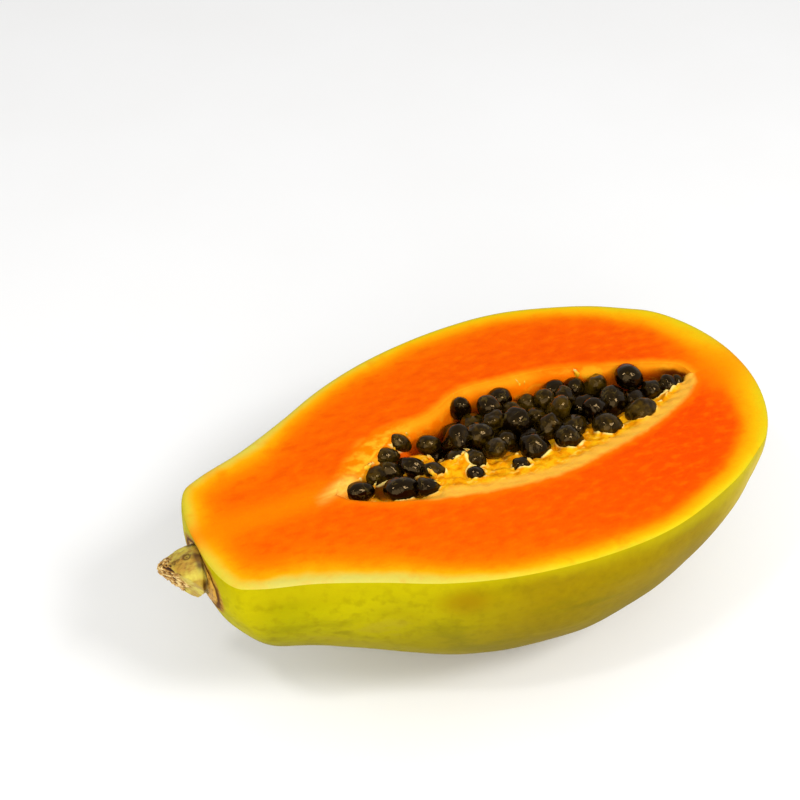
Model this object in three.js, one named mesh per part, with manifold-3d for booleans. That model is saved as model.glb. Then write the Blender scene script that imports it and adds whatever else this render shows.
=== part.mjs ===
// Half of a ripe papaya, cut lengthwise. It lies on the round of its back with the cut face up,
// the seed hollow open, the seeds heaped in it and the short stem stub still on its end.
// Millimetres. While the shapes are made, X runs from the stem end (0) to the blossom end,
// Y runs across the fruit and Z is the height over the cut face. The last lines stand it on Z = 0.

import * as THREE from "three";
import { mergeVertices } from "three/addons/utils/BufferGeometryUtils.js";
import Module from "manifold-3d";

const wasm = await Module();
wasm.setup();

// ---- Driving dimensions --------------------------------------------------------------------

const LENGTH = 160; // stem end to blossom end
const GAP = 0.5; // clearance between two pieces that touch, before the facets and slopes take their share
const SEED_GAP = 0.66; // the same, measured square to the lining's section

// Half of the width of the cut face at stations along the fruit, before the ends are rounded.
const HALF_WIDTH = [
  [0, 16.5], [10, 21.1], [22, 25], [36, 31.3], [50, 38.3], [65, 43.4], [82, 46.5],
  [98, 47.3], [110, 46.2], [122, 42.9], [135, 37.7], [147, 30.3], [160, 23],
];
// How far the fruit's own axis lies under the cut face. The knife passed above it.
const AXIS_DROP = [[0, 8.8], [18, 10.6], [45, 10.5], [80, 9.8], [120, 5.6], [140, 4], [160, 1.4]];
const STEM_END_ROUNDING = 6; // length of the rounded shoulder at the cut face
const STEM_END_ROUNDING_BELOW = 23; // and under the fruit, where it is softer
const SHOULDER_TURN = 1.4; // how the one goes over into the other: more keeps it crisp for longer
const STEM_END_SQUARENESS = 2.5; // 2 is an ellipse, more is squarer
const BLOSSOM_END_ROUNDING = 14;
const BLOSSOM_END_SQUARENESS = 2.1;
const DIMPLE_DEPTH = 1.5; // the stem end is sunk a little round the stem
const DIMPLE_RADIUS = 10;
const RIB_COUNT = 5; // a papaya grows from five carpels and is faintly five-sided
const RIB_HEIGHT = 0.012; // as a share of the radius
const FLAT_SPOT_DEPTH = 0.8; // the back is pressed flat by this much where it rests

// The lip of the seed hollow: distances from the fruit's middle to the lip on either side.
const FAR_LIP = [
  [38, 0], [44, 7], [52, 13.4], [62, 15.9], [72, 16.2], [84, 21.2], [97, 20.3],
  [112, 18], [122, 14], [134, 10], [141, 6.8], [144, 4], [145, 0],
];
const NEAR_LIP = [
  [38, 0], [41, 3.6], [50, 8.5], [64, 13.3], [80, 16.8], [93, 18.1], [108, 16.1],
  [121, 13.7], [130, 10.6], [139, 6.6], [143.4, 3], [145, 0],
];
// How deep it is along the fruit: shallow under the first few seeds, then deep.
const HOLLOW_DEPTH = [
  [38, 0], [41, 2.5], [46, 3.9], [54, 4.9], [60, 5.8], [64, 8], [68, 13], [73, 18.5], [80, 22],
  [90, 24], [106, 24], [120, 21.5], [131, 17], [138, 12], [142.5, 7], [145, 0],
];
// Its section, from the near lip (0) to the far lip (1), as shares of the depth: a gentle
// shelf of lining on the near side, the floor under the seeds, and a steep far wall that
// rounds over to its lip.
const HOLLOW_SECTION = [
  [0, 0], [0.13, 0.05], [0.26, 0.12], [0.38, 0.2], [0.5, 0.34], [0.62, 0.66],
  [0.74, 0.95], [0.82, 1], [0.89, 0.72], [0.94, 0.2], [1, 0],
];
// By the stem tip the near wall is as steep as the far one, and the far one stands in from the
// lip, at this share of the width, with a gentle slope above it.
const TIP_SECTION = [
  [0, 0], [0.1, 0.38], [0.2, 0.72], [0.3, 0.93], [0.42, 1], [0.6, 1], [0.8, 0.95], [0.91, 0.6], [1, 0],
];
const TIP_BLEND = [58, 66]; // over which stations this passes into the shape of the rest
const FAR_WALL = [[38, 0.5], [47, 0.68], [51, 0.78], [57, 0.88], [63, 0.97], [68, 1], [76, 1], [145, 1]];
const FAR_SLOPE = 5;
const LINING_RELIEF = 0.6; // the lining is lumpy by this much
const LINING_WAVES = [1.1, 0.7, 0.35, 0.9]; // of its lumps, along and across, in radians a millimetre
// Mounds of bare lining, each as station, offset, height, length and breadth: one in front of
// the seeds, and one that comes up through the heap.
const LINING_MOUNDS = [[74, 1.5, 3.2, 7, 5], [65.5, 7.5, 5, 4, 5]];
const OPEN_ABOVE = 9; // how far the cutter of the hollow stands over the cut face
const TIP_TAPER = 6; // how quickly the cutter, and the core of seeds, close at their two tips
const INSET_LIMIT = 0.3; // an inset never takes more than this share of the hollow's width
const SLOPE_STEP = 0.02; // share of the length and width over which the lining's slope is read

// The seeds. Their centres lie on a heap that is high on the near side and low at the far wall.
const SEED_SIZE = [5.6, 8]; // smallest and largest, across the soft coat
const SEED_STRETCH = [1.1, 0.98, 0.98]; // a seed is a little longer than it is wide
const SEED_ROW_STEP = 5.4;
const SEED_STEP = 5.9; // across the fruit, within a row
const SEED_OVERRUN = 1; // a row may run this far past the last centres
const SEED_JITTER = 1.1;
const SEED_SKIP = 0.04; // share of the places that stay empty
const BARE_OVER = 1; // and no seed where the lining stands this close under its centre, or higher
const SEED_DRAW = 76553646; // where the random draws start
const SEEDS_TOUCH = 0.93; // centre distance of two seeds pressed together, over their radii
const SETTLING_ROUNDS = 40;
const SETTLING_RISE = 1.5; // a pushed seed stays this close to the heap's own level
const SEED_ROWS_FROM = 72.6;
const SEED_ROWS_TO = 143;
const HEAP_NEAR_EDGE = [
  [44, 3], [50, 5], [56, 3.5], [64, 0.5], [72, 3], [80, 3], [90, -1], [100, -1],
  [112, -0.5], [124, 0], [134, 0.5], [143, 1.5],
];
const HEAP_FAR_MARGIN = 3.2; // from the far lip to the last centres
const HEAP_LEVEL = -3.2; // height of the centres at the near edge
const HEAP_FALL = 3; // how much lower they lie at the far wall
const HEAP_MOUNDS = [[87, 2.6], [109, 2.6]]; // station and height of two mounds on the far side
const HEAP_MOUND_LENGTH = 7;
const HEAP_MIDDLE = 95; // its station
const STALK_RADIUS = 0.8; // of the short stalks that hold the seeds set by hand
const STALK_SIDES = 6;
const CORE_DEPTH = 1.5; // the packed core lies this far under the seeds' centres
const CORE_INSET = 1.6; // and this far inside the lining
const CORE_FROM = 67; // and it starts behind the loose group by the tip
// Seeds in front of the heap and beside it, set one by one: station, offset, height and size.
const FRONT_SEEDS = [
  [45.4, 1.1, -3.2, 5.9], // a loose group by the stem tip of the hollow
  [52.2, 5.6, -4.6, 6],
  [56.4, 5.2, -4.6, 5.6],
  [57.1, 9.7, -3.2, 5.2],
  [62.2, 12.6, -3, 5.2],
  [61.2, 3, -3.2, 5.8],
  [55.3, -3.3, -2.6, 7.5], // a large one on the shelf
  [61.1, -6.5, -1.7, 5.4],
  [65.2, -1.7, -1.5, 4.6],
  [68.7, 9, -3, 5.4],
  [74.3, -7.5, -1.8, 4.6], // a small one alone on the shelf, then its neighbour up the slope
  [76.8, -2.7, -1.9, 5],
  [82.5, 5.7, -2.6, 7.4],
  [86.8, -9.2, -2.2, 4.6],
  [93.3, -4.8, -2.4, 7.6],
  [102.8, -5.9, -2.2, 7.3],
  [114.3, -6.1, -2, 7.3],
  [125.4, -5.3, -1.6, 7.3],
  [128.8, 6.8, -0.5, 7.2], // pushed up towards the far lip
  [134, 2, -3.6, 6.2],
  [138.2, 1.4, -2.6, 5.4], // two by the blossom tip of the hollow
  [141.4, 1.6, -3, 4.4],
];

// The stem: a brown collar set into the end of the fruit, and a stub that stands on it. Both are
// turned shapes, given as distance outwards and radius.
const COLLAR_PROFILE = [[-3.4, 0], [-3.4, 4], [-1.6, 5.9], [-0.8, 6.5], [0.1, 6.4], [0.7, 5.7], [1, 0]];
const COLLAR_BREADTH = 1.48; // wider across the fruit than it is high
const COLLAR_PLACE = new THREE.Vector3(0.9, -2.8, -8.1);
const STUB_PROFILE = [
  [-0.4, 0], [-0.4, 5], [1, 5.8], [1.8, 6.8], [3.2, 6.9], [5, 6.3], [7.1, 5.4], [8.9, 4.2],
  [10.4, 3.3], [11.4, 2.5], [11.9, 0],
];
const STUB_PLACE = new THREE.Vector3(1.3, -3.2, -7.9);
const STUB_DIRECTION = new THREE.Vector3(-1, 0.2, 0.15).normalize();
const STUB_CORNERS = 0.05; // the stub is faintly five-cornered, by this share of its radius
const STEM_SIDES = 30;
// The stub was broken off aslant: a point of the break and the way the break faces.
const BREAK_POINT = new THREE.Vector3(-5.25, -3.6, -8.9);
const BREAK_DIRECTION = new THREE.Vector3(-0.7, -0.55, -0.27).normalize();
const BREAK_BLOCK = 40;

// Fineness of the meshes
const SKIN_RINGS = 44;
const SKIN_SIDES = 60;
const WELD = 1e-4;
const HOLLOW_MESH = [44, 48]; // rings along the hollow and points round each
const CORE_MESH = [24, 24];

// ---- Working tools -------------------------------------------------------------------------

// A smooth curve through points given by rising x, as a function of x.
function curve(points) {
  const slope = (i) => {
    const a = points[Math.max(i - 1, 0)];
    const b = points[Math.min(i + 1, points.length - 1)];
    return (b[1] - a[1]) / (b[0] - a[0]);
  };
  return (x) => {
    let i = 0;
    while (i < points.length - 2 && x > points[i + 1][0]) i += 1;
    const [x0, y0] = points[i];
    const [x1, y1] = points[i + 1];
    const t = THREE.MathUtils.clamp((x - x0) / (x1 - x0), 0, 1);
    const width = x1 - x0;
    return (
      y0 * (1 + 2 * t) * (1 - t) ** 2 + y1 * t * t * (3 - 2 * t)
      + slope(i) * width * t * (1 - t) ** 2 + slope(i + 1) * width * t * t * (t - 1)
    );
  };
}

// A closed surface with its two poles on the X axis. place(t, angle) gives each of its points:
// t runs from 0 to 1 along X, and angle goes round from straight down towards +Y.
function balloon(rings, sides, place) {
  const shape = new THREE.SphereGeometry(1, sides, rings);
  const points = shape.attributes.position;
  for (let i = 0; i < points.count; i += 1) {
    const t = (1 - points.getY(i)) / 2;
    const angle = Math.atan2(points.getX(i), -points.getZ(i));
    points.setXYZ(i, ...place(t, angle));
  }
  return shape;
}

function solid(shape) {
  shape.deleteAttribute("normal");
  shape.deleteAttribute("uv");
  const welded = mergeVertices(shape, WELD);
  return new wasm.Manifold(new wasm.Mesh({
    numProp: 3,
    vertProperties: new Float32Array(welded.attributes.position.array),
    triVerts: new Uint32Array(welded.index.array),
  }));
}

function block(from, to) {
  const shape = new THREE.BoxGeometry(to[0] - from[0], to[1] - from[1], to[2] - from[2]);
  shape.translate((from[0] + to[0]) / 2, (from[1] + to[1]) / 2, (from[2] + to[2]) / 2);
  return solid(shape);
}

// The largest body of a solid, without any loose scraps.
function largest(shape) {
  return shape.decompose().reduce((a, b) => (b.volume() > a.volume() ? b : a));
}

function piece(name, shape, look) {
  const { vertProperties, triVerts } = shape.getMesh();
  const geometry = new THREE.BufferGeometry();
  geometry.setAttribute("position", new THREE.BufferAttribute(vertProperties, 3));
  geometry.setIndex(new THREE.BufferAttribute(triVerts, 1));
  geometry.computeVertexNormals();
  const mesh = new THREE.Mesh(geometry, new THREE.MeshStandardMaterial(look));
  mesh.name = name;
  return mesh;
}

// ---- The fruit: skin and flesh, grown as one -------------------------------------------------

const halfWidth = curve(HALF_WIDTH);
const axisDrop = curve(AXIS_DROP);

// Falls from 1 to 0 over the last stretch before an end, as a rounded shoulder does.
function endRounding(share, squareness) {
  return (1 - Math.max(0, 1 - share) ** squareness) ** (1 / squareness);
}

function skinPoint(t, angle) {
  const x = LENGTH * t;
  const down = Math.max(0, Math.cos(angle));
  const drop = axisDrop(x);
  const shoulder = THREE.MathUtils.lerp(STEM_END_ROUNDING, STEM_END_ROUNDING_BELOW, down ** SHOULDER_TURN);
  const stemEnd = endRounding(x / shoulder, STEM_END_SQUARENESS);
  const blossomEnd = endRounding((LENGTH - x) / BLOSSOM_END_ROUNDING, BLOSSOM_END_SQUARENESS);
  const rib = 1 + RIB_HEIGHT * down * Math.cos(RIB_COUNT * angle);
  const radius = Math.hypot(halfWidth(x), drop) * stemEnd * blossomEnd * rib;
  const dimple = DIMPLE_DEPTH * Math.max(0, 1 - (radius / DIMPLE_RADIUS) ** 2) ** 2;
  return [
    t < 0.5 ? x + dimple : x,
    radius * Math.sin(angle),
    -drop - radius * Math.cos(angle),
  ];
}

// ---- The seed hollow -------------------------------------------------------------------------

const farLip = curve(FAR_LIP);
const nearLip = curve(NEAR_LIP);
const hollowDepth = curve(HOLLOW_DEPTH);
const hollowSection = curve(HOLLOW_SECTION);
const tipSection = curve(TIP_SECTION);
const farWall = curve(FAR_WALL);
const HOLLOW_FROM = FAR_LIP[0][0];
const HOLLOW_TO = FAR_LIP.at(-1)[0];

// Two crossing waves, between -1 and 1.
function lumps(x, y) {
  const [along, across, slow, quick] = LINING_WAVES;
  return Math.sin(along * x + across * y) * Math.sin(quick * y - slow * x + 1);
}

// 1 along the hollow, falling to 0 at its two tips.
function taper(t) {
  return Math.min(1, TIP_TAPER * Math.sin(Math.PI * t));
}

// Where a point of a balloon's ring lies: above or below, and its share of the way to the far side.
function inSection(angle) {
  const turns = Math.abs(angle) / (Math.PI / 2);
  const below = turns <= 1 + 1e-9;
  return [below, 0.5 + 0.5 * Math.sign(angle) * (below ? turns : 2 - turns)];
}

// The height of the lining at a place inside the lip.
function lining(x, y) {
  const across = (y + nearLip(x)) / Math.max(farLip(x) + nearLip(x), 1e-6);
  const s = THREE.MathUtils.clamp(across, 0, 1);
  const mounds = LINING_MOUNDS.map(([station, offset, height, length, breadth]) => (
    height * Math.exp(-(((x - station) / length) ** 2) - ((y - offset) / breadth) ** 2)
  ));
  const raised = mounds.reduce((sum, mound) => sum + mound, LINING_RELIEF * lumps(x, y));
  const wall = Math.min(farWall(x), 1);
  const under = Math.min(s / wall, 1);
  const blend = THREE.MathUtils.smoothstep(x, ...TIP_BLEND);
  const section = THREE.MathUtils.lerp(tipSection(under), hollowSection(under), blend);
  const slope = FAR_SLOPE * Math.min(1 - s, 1 - wall) * Math.min(4 * s, 1);
  return -hollowDepth(x) * section - slope + 4 * s * (1 - s) * raised;
}

// The room inside the lip, down to the lining, drawn in from it by an inset.
function hollow(inset, [rings, sides] = HOLLOW_MESH) {
  const onLining = (t, share) => {
    const x = THREE.MathUtils.lerp(HOLLOW_FROM, HOLLOW_TO, THREE.MathUtils.clamp(t, 0, 1));
    const y = THREE.MathUtils.lerp(-nearLip(x), farLip(x), THREE.MathUtils.clamp(share, 0, 1));
    return new THREE.Vector3(x, y, lining(x, y));
  };
  return solid(balloon(rings, sides, (t, angle) => {
    const [below, s] = inSection(angle);
    const point = onLining(t, s);
    if (below) {
      const along = onLining(t + SLOPE_STEP, s).sub(onLining(t - SLOPE_STEP, s));
      const across = onLining(t, s + SLOPE_STEP).sub(onLining(t, s - SLOPE_STEP));
      const width = nearLip(point.x) + farLip(point.x);
      point.add(along.cross(across).setLength(Math.min(inset, INSET_LIMIT * width)));
      point.x += inset * (1 - 2 * t) * (1 - taper(t));
    } else {
      point.x += inset * (1 - 2 * t);
      point.y += inset * (1 - 2 * s) * taper(t);
      point.z = OPEN_ABOVE * taper(t);
    }
    return point.toArray();
  }));
}

// ---- The seeds -------------------------------------------------------------------------------

// Random draws between 0 and 1 that come out the same each time.
function draws(start) {
  let state = start;
  return () => {
    state = (state * 48271) % 2147483647;
    return state / 2147483647;
  };
}

const heapNearEdge = curve(HEAP_NEAR_EDGE);

// The height of the seeds' centres over a place in the heap.
function heap(x, y) {
  const near = heapNearEdge(x);
  const far = farLip(x) - HEAP_FAR_MARGIN;
  const share = THREE.MathUtils.clamp((y - near) / Math.max(far - near, 1), 0, 1);
  const mounds = HEAP_MOUNDS.reduce(
    (sum, [station, height]) => sum + height * Math.exp(-(((x - station) / HEAP_MOUND_LENGTH) ** 2)),
    0,
  );
  return HEAP_LEVEL - (HEAP_FALL - mounds) * share;
}

// Seeds in rows across the heap, every other row shifted by half a step, each moved a little at
// random. Those that come too close are then pushed apart, as soft coats settle.
function seedPlaces() {
  const draw = draws(SEED_DRAW);
  const jitter = () => (2 * draw() - 1) * SEED_JITTER;
  const seeds = FRONT_SEEDS.map(([x, y, z, size]) => ({ x, y, z, radius: size / 2, fixed: true }));
  let row = 0;
  for (let station = SEED_ROWS_FROM; station < SEED_ROWS_TO; station += SEED_ROW_STEP) {
    const near = heapNearEdge(station);
    const far = farLip(station) - HEAP_FAR_MARGIN;
    for (let offset = near + (row % 2) * SEED_STEP / 2; offset < far + SEED_OVERRUN; offset += SEED_STEP) {
      const x = station + jitter();
      const y = offset + jitter();
      const rise = jitter();
      const size = THREE.MathUtils.lerp(SEED_SIZE[0], SEED_SIZE[1], draw());
      const z = heap(x, y) + rise;
      if (draw() < SEED_SKIP || lining(x, y) > z - BARE_OVER) continue;
      seeds.push({ x, y, z, radius: size / 2, fixed: false });
    }
    row += 1;
  }
  for (let round = 0; round < SETTLING_ROUNDS; round += 1) settle(seeds);
  return seeds;
}

function settle(seeds) {
  seeds.forEach((a, i) => seeds.slice(0, i).forEach((b) => {
    const apart = [a.x - b.x, a.y - b.y, a.z - b.z];
    const distance = Math.hypot(...apart);
    const wanted = SEEDS_TOUCH * (a.radius + b.radius);
    if (distance >= wanted) return;
    const push = (wanted - distance) / distance / 2;
    if (!a.fixed) ["x", "y", "z"].forEach((axis, k) => { a[axis] += push * apart[k]; });
    if (!b.fixed) ["x", "y", "z"].forEach((axis, k) => { b[axis] -= push * apart[k]; });
  }));
  seeds.filter((seed) => !seed.fixed).forEach((seed) => {
    seed.y = Math.min(seed.y, farLip(seed.x) - seed.radius);
    const level = heap(seed.x, seed.y);
    seed.z = THREE.MathUtils.clamp(seed.z, level - SETTLING_RISE, level + SETTLING_RISE);
  });
}

// One seed: a ball of few faces, turned its own way.
function seedShape({ x, y, z, radius }, draw) {
  const shape = new THREE.IcosahedronGeometry(radius, 1);
  shape.scale(...SEED_STRETCH);
  shape.rotateY(draw() * Math.PI);
  shape.rotateZ(draw() * Math.PI);
  shape.translate(x, y, z);
  return solid(shape);
}

// The short stalk by which a seed that was set by hand hangs on: it ends in the nearest of the
// seeds that lie closer to the middle of the heap.
function stalk(seed, seeds) {
  const from = new THREE.Vector3(seed.x, seed.y, seed.z);
  const fromMiddle = Math.abs(seed.x - HEAP_MIDDLE);
  const closer = seeds.filter(({ x }) => Math.abs(x - HEAP_MIDDLE) < fromMiddle);
  const ends = closer.map(({ x, y, z }) => new THREE.Vector3(x, y, z));
  const to = ends.reduce((a, b) => (from.distanceTo(b) < from.distanceTo(a) ? b : a));
  const length = from.distanceTo(to);
  const shape = new THREE.CylinderGeometry(STALK_RADIUS, STALK_RADIUS, length, STALK_SIDES);
  const turn = new THREE.Quaternion();
  turn.setFromUnitVectors(new THREE.Vector3(0, 1, 0), to.clone().sub(from).normalize());
  shape.applyQuaternion(turn);
  shape.translate(...from.lerp(to, 0.5));
  return solid(shape);
}

// The packed seeds under the heap, as one smaller core that the upper ones stand out of.
function seedCore() {
  const top = solid(balloon(...CORE_MESH, (t, angle) => {
    const x = THREE.MathUtils.lerp(CORE_FROM, HEAP_NEAR_EDGE.at(-1)[0], t);
    const [below, s] = inSection(angle);
    const middle = (heapNearEdge(x) + farLip(x)) / 2;
    const y = middle + taper(t) * (THREE.MathUtils.lerp(heapNearEdge(x), farLip(x), s) - middle);
    const level = heap(x, y) - CORE_DEPTH;
    return [x, y, below ? level - 2 * hollowDepth(x) * taper(t) * Math.sin(Math.PI * s) : level];
  }));
  return hollow(CORE_INSET, CORE_MESH).intersect(top);
}

const seedDraw = draws(SEED_DRAW + 1);
const places = seedPlaces();
const heapOfSeeds = wasm.Manifold.union([
  seedCore(),
  ...places.map((seed) => seedShape(seed, seedDraw)),
  ...places.filter((seed) => seed.fixed).map((seed) => stalk(seed, places)),
]);
const seedsSolid = largest(heapOfSeeds.intersect(hollow(SEED_GAP)));

// ---- The stem --------------------------------------------------------------------------------

// A profile turned about the Y axis, grown outwards by a clearance.
function turned(profile, clearance) {
  const outline = profile.map(([distance, radius]) => {
    const outwards = distance > profile[0][0] ? 0 : -clearance;
    return new THREE.Vector2(radius > 0 ? radius + clearance : 0, distance + outwards);
  });
  return new THREE.LatheGeometry(outline, STEM_SIDES);
}

function collar(clearance) {
  const shape = turned(COLLAR_PROFILE, clearance);
  shape.rotateZ(Math.PI / 2); // its axis now points to -X, away from the fruit
  shape.scale(1, COLLAR_BREADTH, 1);
  shape.translate(...COLLAR_PLACE);
  return solid(shape);
}

function stub(clearance) {
  const shape = turned(STUB_PROFILE, clearance);
  const points = shape.attributes.position;
  for (let i = 0; i < points.count; i += 1) {
    const angle = Math.atan2(points.getZ(i), points.getX(i));
    const corner = 1 + STUB_CORNERS * Math.cos(RIB_COUNT * angle);
    points.setXYZ(i, points.getX(i) * corner, points.getY(i), points.getZ(i) * corner);
  }
  const outwards = new THREE.Quaternion();
  outwards.setFromUnitVectors(new THREE.Vector3(0, 1, 0), STUB_DIRECTION);
  shape.applyQuaternion(outwards);
  shape.translate(...STUB_PLACE);
  return solid(shape);
}

function beyondTheBreak() {
  const shape = new THREE.BoxGeometry(BREAK_BLOCK, BREAK_BLOCK, BREAK_BLOCK);
  shape.translate(0, BREAK_BLOCK / 2, 0);
  const turn = new THREE.Quaternion();
  turn.setFromUnitVectors(new THREE.Vector3(0, 1, 0), BREAK_DIRECTION);
  shape.applyQuaternion(turn);
  shape.translate(...BREAK_POINT);
  return solid(shape);
}

const stemSolid = collar(0).add(stub(0).subtract(beyondTheBreak()));

// ---- The fruit is cut, hollowed and set down ---------------------------------------------------

const wholeFruit = solid(balloon(SKIN_RINGS, SKIN_SIDES, skinPoint));
const lowest = wholeFruit.boundingBox().min[2];
const restingPlane = lowest + FLAT_SPOT_DEPTH;
const halfSolid = wholeFruit
  .intersect(block([-LENGTH, -LENGTH, restingPlane], [2 * LENGTH, LENGTH, 0]))
  .subtract(hollow(0))
  .subtract(collar(GAP))
  .subtract(stub(GAP));

const papaya = new THREE.Group();
papaya.add(
  piece("papaya_half", halfSolid, { color: 0xf07a1c, roughness: 0.45, metalness: 0 }),
  piece("seeds", seedsSolid, { color: 0x1c1812, roughness: 0.25, metalness: 0 }),
  piece("stem", stemSolid, { color: 0xa08a4a, roughness: 0.75, metalness: 0 }),
);
const box = new THREE.Box3().setFromObject(papaya);
const centre = box.getCenter(new THREE.Vector3());
papaya.position.set(-centre.x, -centre.y, -box.min.z);

export default papaya;
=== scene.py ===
import colorsys
import math
from itertools import pairwise

import bpy
import numpy as np
from mathutils import Matrix, Vector, kdtree, noise


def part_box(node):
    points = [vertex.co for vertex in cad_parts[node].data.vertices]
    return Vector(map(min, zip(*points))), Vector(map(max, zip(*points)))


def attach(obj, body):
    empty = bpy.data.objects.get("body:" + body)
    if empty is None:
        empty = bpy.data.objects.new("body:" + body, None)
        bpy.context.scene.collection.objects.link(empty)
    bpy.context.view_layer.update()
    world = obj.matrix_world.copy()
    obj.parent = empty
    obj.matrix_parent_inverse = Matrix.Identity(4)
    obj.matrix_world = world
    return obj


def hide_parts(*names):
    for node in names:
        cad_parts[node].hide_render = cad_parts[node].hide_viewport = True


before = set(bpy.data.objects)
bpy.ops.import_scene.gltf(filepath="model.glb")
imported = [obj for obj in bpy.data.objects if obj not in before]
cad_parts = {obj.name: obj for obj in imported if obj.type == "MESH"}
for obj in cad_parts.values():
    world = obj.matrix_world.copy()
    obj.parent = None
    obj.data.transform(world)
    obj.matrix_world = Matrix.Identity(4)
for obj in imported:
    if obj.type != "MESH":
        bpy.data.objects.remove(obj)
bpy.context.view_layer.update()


# ---- The halved fruit --------------------------------------------------------
# Half of a ripe papaya, cut lengthwise: a thin yellow-green skin over firm orange flesh, and in
# the middle the seed hollow with its paler, lumpy lining. It grew as one, so it is one mesh.

# Sizes and places on the fruit are in mm: a station counts from the stem end, an offset across
# from the middle line, towards the far side, and a height from the cut face.
LENGTH = 160
# Half of the width at each station, and how far the fruit's own axis lies under the cut face.
HALF_WIDTH = [
    (0, 16.5), (10, 21.1), (22, 25), (36, 31.3), (50, 38.3), (65, 43.4), (82, 46.5),
    (98, 47.3), (110, 46.2), (122, 42.9), (135, 37.7), (147, 30.3), (160, 23),
]
AXIS_DROP = [(0, 8.8), (18, 10.6), (45, 10.5), (80, 9.8), (120, 5.6), (140, 4), (160, 1.4)]
STEM_END_ROUNDING = 6  # length of the shoulder at the cut face
STEM_END_ROUNDING_BELOW = 23  # and under the fruit
SHOULDER_TURN = 1.4  # how late the first passes into the second on the way down
STEM_END_SQUARENESS = 2.5
BLOSSOM_END_ROUNDING = 14
BLOSSOM_END_SQUARENESS = 2.1
DIMPLE_DEPTH = 1.5  # the fruit's end is drawn in round the stem
DIMPLE_RADIUS = 10
RIB_COUNT = 5
RIB_HEIGHT = 0.012  # as a share of the radius
SKIN_REACH = (LENGTH / 2, 47, 58)  # about how far the skin lies from the middle of the cut face
BEYOND_SKIN = 1.6  # a share of that reach which is outside the fruit on every side
HALVINGS = 40  # how often that stretch is halved to find the skin

# The hollow's two lips, as far from the middle line as they run at each station, and its depth.
FAR_LIP = [
    (38, 0), (44, 7), (52, 13.4), (62, 15.9), (72, 16.2), (84, 21.2), (97, 20.3),
    (112, 18), (122, 14), (134, 10), (141, 6.8), (144, 4), (145, 0),
]
NEAR_LIP = [
    (38, 0), (41, 3.6), (50, 8.5), (64, 13.3), (80, 16.8), (93, 18.1), (108, 16.1),
    (121, 13.7), (130, 10.6), (139, 6.6), (143.4, 3), (145, 0),
]
HOLLOW_DEPTH = [
    (38, 0), (41, 2.5), (46, 3.9), (54, 4.9), (60, 5.8), (64, 8), (68, 13), (73, 18.5), (80, 22),
    (90, 24), (106, 24), (120, 21.5), (131, 17), (138, 12), (142.5, 7), (145, 0),
]
# The share of the depth across the hollow, from its near lip (0) to its far lip (1).
HOLLOW_SECTION = [
    (0, 0), (0.13, 0.05), (0.26, 0.12), (0.38, 0.2), (0.5, 0.34), (0.62, 0.66),
    (0.74, 0.95), (0.82, 1), (0.89, 0.72), (0.94, 0.2), (1, 0),
]
# By the stem tip the near wall is as steep as the far one, and the far one stands in from the
# lip, with a gentle slope above it.
TIP_SECTION = [
    (0, 0), (0.1, 0.38), (0.2, 0.72), (0.3, 0.93), (0.42, 1), (0.6, 1), (0.8, 0.95),
    (0.91, 0.6), (1, 0),
]
TIP_BLEND = (58, 66)  # over which stations this passes into the shape of the rest
# How far across the hollow the far wall ends, and how much the slope above it falls.
FAR_WALL = [(38, 0.5), (47, 0.68), (51, 0.78), (57, 0.88), (63, 0.97), (68, 1), (76, 1), (145, 1)]
FAR_SLOPE = 5
LINING_RELIEF = 0.6  # height of the lining's lumps
LINING_WAVES = (1.1, 0.7, 0.35, 0.9)  # and how fast they follow each other, along and across
# Mounds of the lining: station, offset, height, length and breadth.
LINING_MOUNDS = [(74, 1.5, 3.2, 7, 5), (65.5, 7.5, 5, 4, 5)]
# Where the heap of seeds ends towards the near lip.
HEAP_NEAR_EDGE = [
    (44, 3), (50, 5), (56, 3.5), (64, 0.5), (72, 3), (80, 3), (90, -1), (100, -1),
    (112, -0.5), (124, 0), (134, 0.5), (143, 1.5),
]
# The seeds that lie in front of the heap: station, offset, height and size.
FRONT_SEEDS = [
    (45.4, 1.1, -3.2, 5.9), (52.2, 5.6, -4.6, 6), (56.4, 5.2, -4.6, 5.6), (57.1, 9.7, -3.2, 5.2),
    (62.2, 12.6, -3, 5.2), (61.2, 3, -3.2, 5.8), (55.3, -3.3, -2.6, 7.5), (61.1, -6.5, -1.7, 5.4),
    (65.2, -1.7, -1.5, 4.6), (68.7, 9, -3, 5.4), (74.3, -7.5, -1.8, 4.6), (76.8, -2.7, -1.9, 5),
    (82.5, 5.7, -2.6, 7.4), (86.8, -9.2, -2.2, 4.6), (93.3, -4.8, -2.4, 7.6),
    (102.8, -5.9, -2.2, 7.3), (114.3, -6.1, -2, 7.3), (125.4, -5.3, -1.6, 7.3),
    (128.8, 6.8, -0.5, 7.2), (134, 2, -3.6, 6.2), (138.2, 1.4, -2.6, 5.4), (141.4, 1.6, -3, 4.4),
]

half_low, half_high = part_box("papaya_half")
STEM_END_AT = half_high.x * 1000 - LENGTH
CUT_FACE_AT = half_high.z * 1000
RESTS_AT = half_low.z * 1000 - CUT_FACE_AT


def in_part(points):
    """Points given along the fruit, in mm, as places in the part's own frame, in metres."""
    return (np.asarray(points, float) + (STEM_END_AT, 0, CUT_FACE_AT)) / 1000


def between(value, start, end):
    """How far a value has come on its way from start to end, from 0 to 1."""
    return np.clip((value - start) / (end - start), 0, 1)


def eased(share):
    """A share from 0 to 1 that starts and ends gently."""
    return share * share * (3 - 2 * share)


def hump(distance, breadth):
    """1 at no distance, falling away smoothly on both sides."""
    return np.exp(-((distance / breadth) ** 2))


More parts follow.
